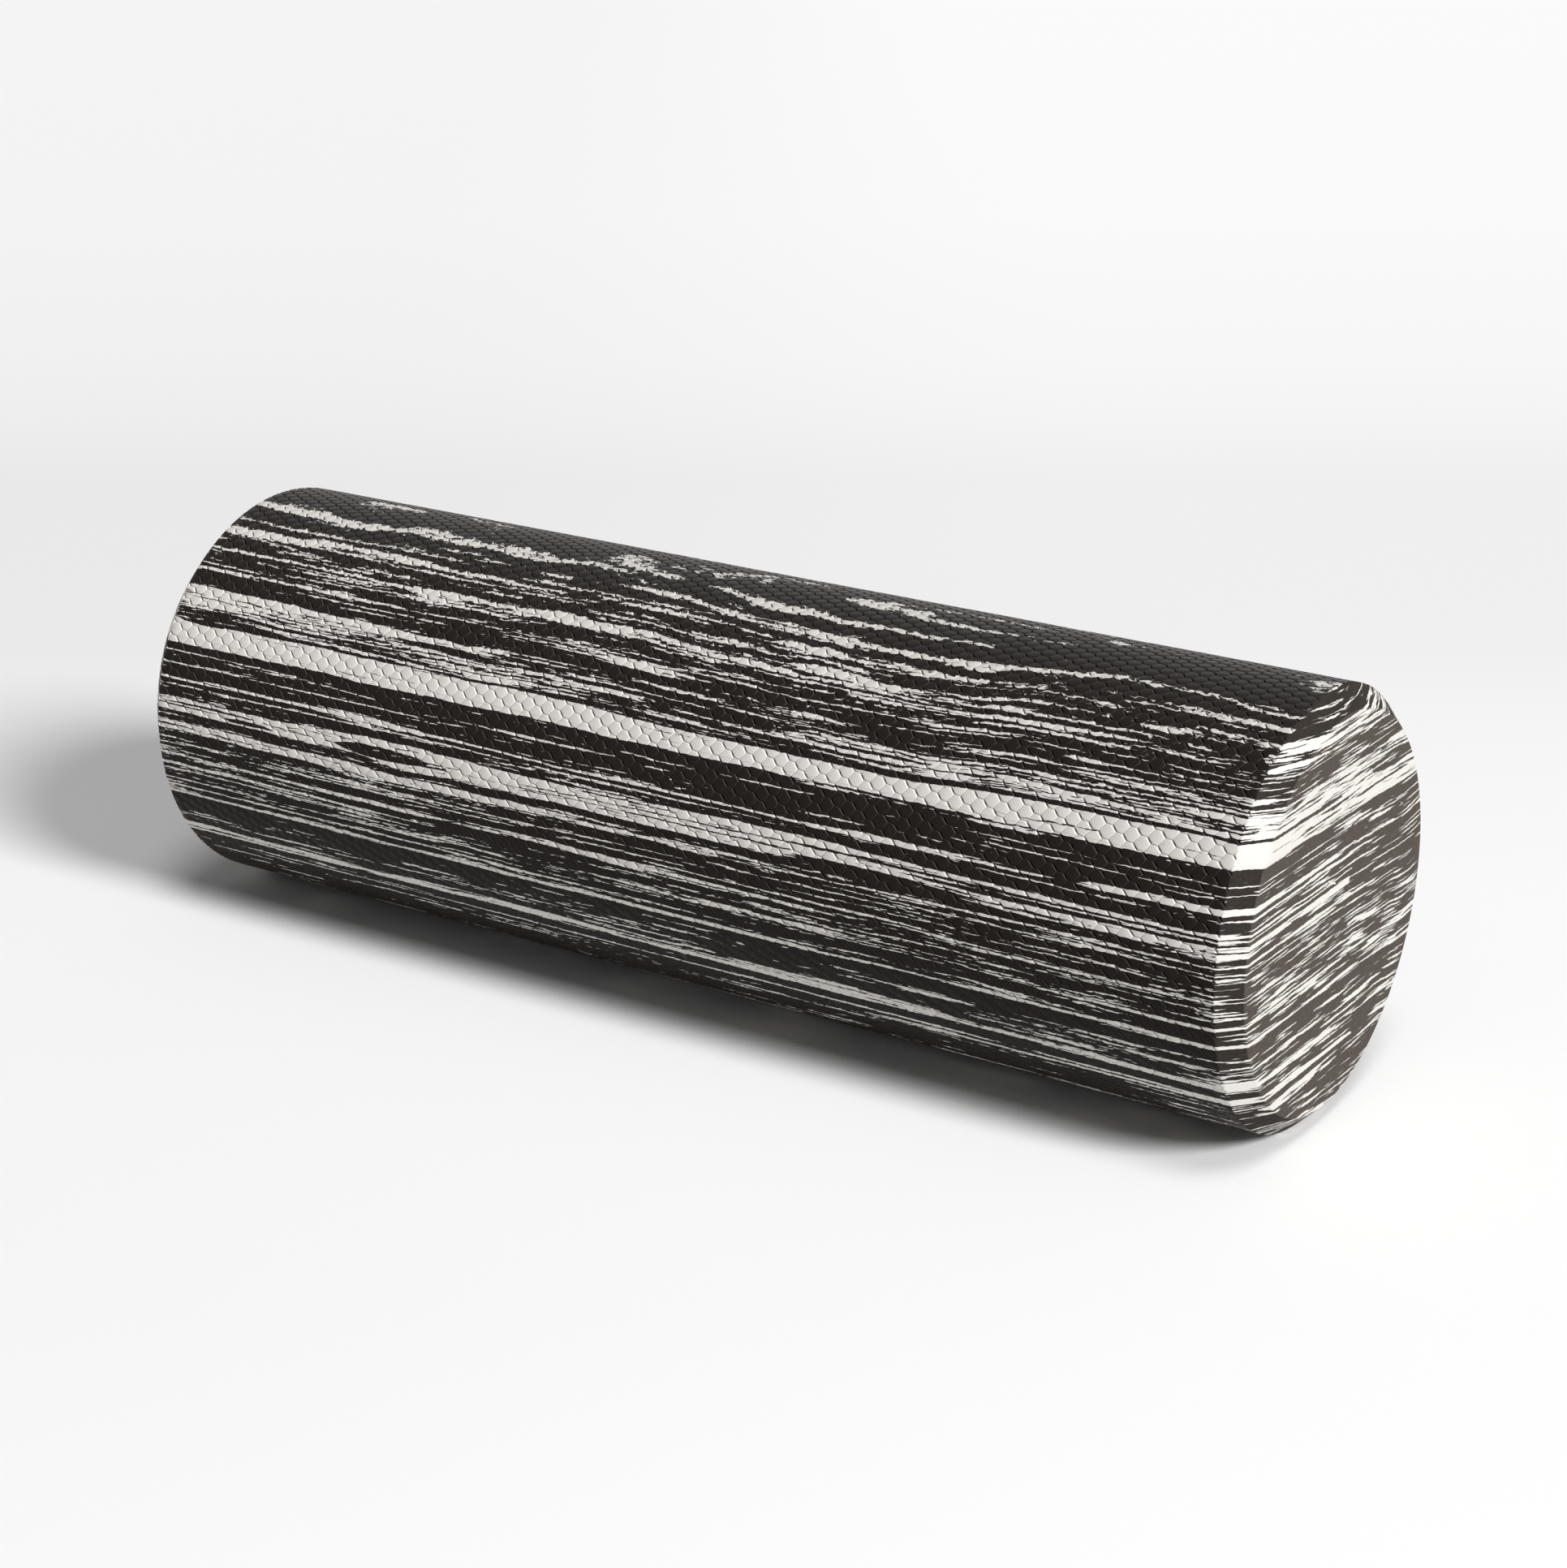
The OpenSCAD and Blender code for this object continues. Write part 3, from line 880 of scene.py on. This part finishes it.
def marbling(g, place, sheet, cut_face):
    """How light the foam is at a place, from 0, dark, to 1, light."""
    seed = sheet["seed"]
    level = g.node("VectorRotate", {"Vector": place, "Angle": SHEET_TURN}, rotation_type="X_AXIS").outputs[0]
    along, across, height = g.split(level)
    height = g.math("MULTIPLY_ADD", along, -LAYER_CLIMB, g.math("ADD", height, LAYER_CLIMB * NEAR_RIM))
    behind = g.ease(across, *BACK)

    # What moves the layers up and down
    rag_reach = g.ease(height, *RAG_HEIGHTS, RAG_FRONT, RAG_TOP)
    rag_reach = g.math("MULTIPLY_ADD", cut_face, g.math("SUBTRACT", RAG_FRONT, rag_reach), rag_reach)
    rag = g.math("MULTIPLY", g.noise(level, RAG, seed), rag_reach)
    jog = g.node("Attribute", {}, attribute_name="jog").outputs["Fac"]
    ripple = g.math("MULTIPLY", g.noise(level, RIPPLE, seed), RIPPLE_RISE)
    far_wave = g.math("MULTIPLY", g.noise(level, FAR_WAVE, seed), FAR_WAVE_RISE)
    far_wave = g.math("MULTIPLY", far_wave, behind)
    wave = g.math("MULTIPLY", g.noise(level, WAVE, seed), WAVE_RISE)
    from_still = g.math("ABSOLUTE", g.math("SUBTRACT", height, sheet["still"]))
    drawn_wave = layer_wave(g, along, sheet["wave"])
    drawn_wave = g.math("MULTIPLY", drawn_wave, g.ease(from_still, 0.0, STILL_REACH))
    wave = g.math("SUBTRACT", wave, drawn_wave)
    layer_height = g.total(height, rag, ripple, wave, far_wave, g.math("MULTIPLY", jog, CELL_JOG))
    drawn_height = g.total(height, rag, g.math("MULTIPLY", ripple, DRAWN_RIPPLE), far_wave,
                           g.math("MULTIPLY", jog, DRAWN_JOG))

    # Layers and the fine lines in them
    tone = layer_tone(g, layer_height, sheet["strata"])
    faded = g.math("MULTIPLY", cut_face, g.ease(across, *FADE))
    pale = g.math("MAXIMUM", tone, 0.0)
    tone = g.math("SUBTRACT", tone, g.math("MULTIPLY", pale, g.math("MULTIPLY", faded, FADE_SHARE)))
    streaked = g.join(along, across, layer_height)
    lines = fine_lines(g, streaked, sheet, cut_face)
    lightness = g.total(tone, g.noise(streaked, GROUPS, seed), lines)

    # Drawn streaks and patches over them
    uneven_end = g.math("MULTIPLY", g.noise(level, UNEVEN_END, seed), cut_face)
    gap_place = g.math("MULTIPLY_ADD", uneven_end, GAP_UNEVEN, across)
    gap = g.math("SUBTRACT", g.ease(gap_place, *GAP_START), g.ease(gap_place, *GAP_STOP))
    gap = g.math("MULTIPLY", gap, GAP_THINNER)
    streak_along = g.math("MULTIPLY_ADD", behind, BACK_SHIFT, along)
    ragged_along = g.math("MULTIPLY_ADD", rag, RAG_STRETCH, along)
    ragged_across = g.math("MULTIPLY_ADD", rag, -RAG_STRETCH, across)
    drawn_place = g.join(ragged_along, ragged_across, drawn_height)
    lightness = draw_shapes(g, lightness, lines, sheet, streak_along, gap, drawn_place)

    lightness = g.math("MULTIPLY_ADD", cut_face, CUT_LIGHTER, lightness)
    softness = g.between(cut_face, *SOFTNESS)
    return g.ease(lightness, g.math("MULTIPLY", softness, -1.0), softness)


def foam_material(name, sheet, tint=1.0):
    """Marbled foam: flat streaks of light and dark foam, cut through by the roller's surface."""
    g = Graph(bpy.data.materials.new(name))
    seed = sheet["seed"]
    place = g.node("Mapping", {"Vector": g.node("TexCoord", {}).outputs["Object"],
                               "Location": (0, 0, -AXIS_HEIGHT / MM),
                               "Scale": (1 / MM, 1 / MM, 1 / MM)}).outputs[0]
    cut_face, end_face, groove, pad_rim = surface_zones(g, place)
    light = marbling(g, place, sheet, cut_face)

    mottle = g.math("MULTIPLY", g.noise(place, MOTTLE, seed), cut_face)
    mottle = g.math("MULTIPLY_ADD", mottle, MOTTLE_STRENGTH, 1.0)
    dark_colour = g.mix(end_face, g.mix(cut_face, EMBOSSED_DARK, BEVEL_DARK), END_DARK)
    light_colour = g.mix(end_face, g.mix(cut_face, EMBOSSED_LIGHT, BEVEL_LIGHT), END_LIGHT)
    colour = g.mix(light, g.scaled(dark_colour, mottle), light_colour)
    # Painted light on the relief: the pads' rims are made lighter as a painted highlight and the grooves
    # darker as painted shade, then the rims are mixed a little towards white as a further painted highlight
    rim_highlight = g.math("MULTIPLY_ADD", pad_rim, RIM_PAINTED_HIGHLIGHT, 1.0)
    painted_light = g.math("MULTIPLY_ADD", groove, -GROOVE_PAINTED_SHADE, rim_highlight)
    colour = g.scaled(colour, g.math("MULTIPLY", painted_light, tint))
    colour = g.mix(g.math("MULTIPLY", pad_rim, RIM_PAINTED_WHITE), colour, WHITE)

    grain = g.noise(place, GRAIN, seed)
    roughness = g.math("MULTIPLY_ADD", grain, GRAIN_ROUGHNESS, g.between(cut_face, *ROUGHNESS))
    bump = g.node("Bump", {"Height": grain, "Strength": BUMP_STRENGTH, "Distance": BUMP_DEPTH})
    shader = g.node("BsdfPrincipled", {"Base Color": colour, "Roughness": roughness,
                                       "Specular IOR Level": GLOSS, "Sheen Weight": SHEEN,
                                       "Sheen Roughness": SHEEN_ROUGHNESS, "Normal": bump.outputs[0]})
    g.node("OutputMaterial", {"Surface": shader.outputs[0]})
    return g.owner


# Floor, in metres: its size and place, the ways back and right as the camera looks, its painted shade at
# each distance back, and the painted light and shade it is multiplied by on the left and on the right
FLOOR_SIZE = 60
FLOOR_PLACE = (0, 2, 0)
FLOOR_BACK = (-0.544, 0.839, 0)
FLOOR_RIGHT = (0.839, 0.544, 0)
FLOOR_PAINTED_SHADES = ((-0.40, 0.975), (-0.25, 0.95), (0.08, 0.935), (0.27, 0.895), (0.40, 0.85), (0.70, 0.845),
                (0.84, 0.88), (1.0, 0.905), (1.5, 0.93), (2.5, 0.935))
FLOOR_ASIDE = (-0.30, 0.25)
FLOOR_ASIDE_PAINTED_SHADES = (0.955, 1.015)
# Strength of the sky, as it lights the roller and as it is seen
SKY_LIGHT = 0.18
SKY_SEEN = 0.90
# Lamps by strength, size in degrees and the way towards them: a key from the right, a broad fill from above
# and a faint low one from the front
LAMPS = {
    "key": (3.05, 18, (0.798, -0.195, 0.578)),
    "fill": (0.90, 18, (0.240, -0.250, 0.938)),
    "front": (0.16, 20, (-0.10, -0.99, 0.06)),
}
# Camera: its place in metres, which way it looks, and its lens and sensor in millimetres
CAMERA_PLACE = (0.6286, -0.9509, 0.4970)
CAMERA_YAW = math.radians(-32.97)
CAMERA_PITCH = math.radians(20.28)
CAMERA_LENS = 76.76
CAMERA_SENSOR = 36


def floor_material():
    """White floor with painted shade: greyer further back than at the front, most of all 0.4 to 0.7 m back
    behind the roller, greyer to the left and whiter to the right, in place of light falling off across it.
    """
    g = Graph(bpy.data.materials.new("floor"))
    place = g.node("NewGeometry", {}).outputs["Position"]
    low = FLOOR_PAINTED_SHADES[0][0]
    span = FLOOR_PAINTED_SHADES[-1][0] - low
    stops = [((metres - low) / span, painted_light) for metres, painted_light in FLOOR_PAINTED_SHADES]
    # Painted shade of the floor by distance back, times painted light and shade from left to right
    painted_light = g.ramp(g.math("MULTIPLY_ADD", g.dot(place, FLOOR_BACK), 1 / span, -low / span), stops)
    aside = g.ease(g.dot(place, FLOOR_RIGHT), *FLOOR_ASIDE, *FLOOR_ASIDE_PAINTED_SHADES)
    painted_light = g.math("MULTIPLY", painted_light, aside)
    shader = g.node("BsdfDiffuse", {"Color": g.join(painted_light, painted_light, painted_light)})
    g.node("OutputMaterial", {"Surface": shader.outputs[0]})
    return g.owner


def studio_world():
    """White sky that lights the roller dimly."""
    g = Graph(bpy.data.worlds.new("studio"))
    path = g.node("LightPath", {}).outputs
    seen = g.math("MAXIMUM", path["Is Glossy Ray"], path["Is Transmission Ray"])
    seen = g.math("MAXIMUM", path["Is Camera Ray"], seen)
    sky = g.node("Background", {"Color": WHITE, "Strength": g.between(seen, SKY_LIGHT, SKY_SEEN)})
    g.node("OutputWorld", {"Surface": sky.outputs[0]})
    return g.owner


def add_sun(name, strength, size, way):
    data = bpy.data.lights.new(name, "SUN")
    data.energy = strength
    data.angle = math.radians(size)
    lamp = bpy.data.objects.new(name, data)
    bpy.context.scene.collection.objects.link(lamp)
    lamp.rotation_euler = Vector(way).to_track_quat("Z", "Y").to_euler()


def add_camera():
    data = bpy.data.cameras.new("camera")
    data.lens = CAMERA_LENS
    data.sensor_width = CAMERA_SENSOR
    camera = bpy.data.objects.new("camera", data)
    bpy.context.scene.collection.objects.link(camera)
    camera.location = CAMERA_PLACE
    look = Vector((math.cos(CAMERA_PITCH) * math.sin(CAMERA_YAW),
                   math.cos(CAMERA_PITCH) * math.cos(CAMERA_YAW),
                   -math.sin(CAMERA_PITCH)))
    camera.rotation_euler = look.to_track_quat("-Z", "Y").to_euler()
    bpy.context.scene.camera = camera


# The roller
layers = make_layers()
materials = {
    "upper_slab": foam_material("upper_foam", UPPER),
    "upper_bond": foam_material("upper_film", MIDDLE, GLUE_TINT),
    "middle_slab": foam_material("middle_foam", MIDDLE),
    "lower_bond": foam_material("lower_film", LOWER, GLUE_TINT),
    "lower_slab": foam_material("lower_foam", LOWER),
}
for node, piece in layers.items():
    piece.data.materials.append(materials[node])
    add_bake_map(piece)
    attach(piece, "root")
    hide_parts(node)

# The studio
bpy.ops.mesh.primitive_plane_add(size=FLOOR_SIZE, location=FLOOR_PLACE)
floor = bpy.context.object
floor.name = "floor"
floor.data.materials.append(floor_material())
scene = bpy.context.scene
scene.world = studio_world()
for name, (strength, size, way) in LAMPS.items():
    add_sun(name, strength, size, way)
add_camera()
scene.view_settings.view_transform = "Standard"
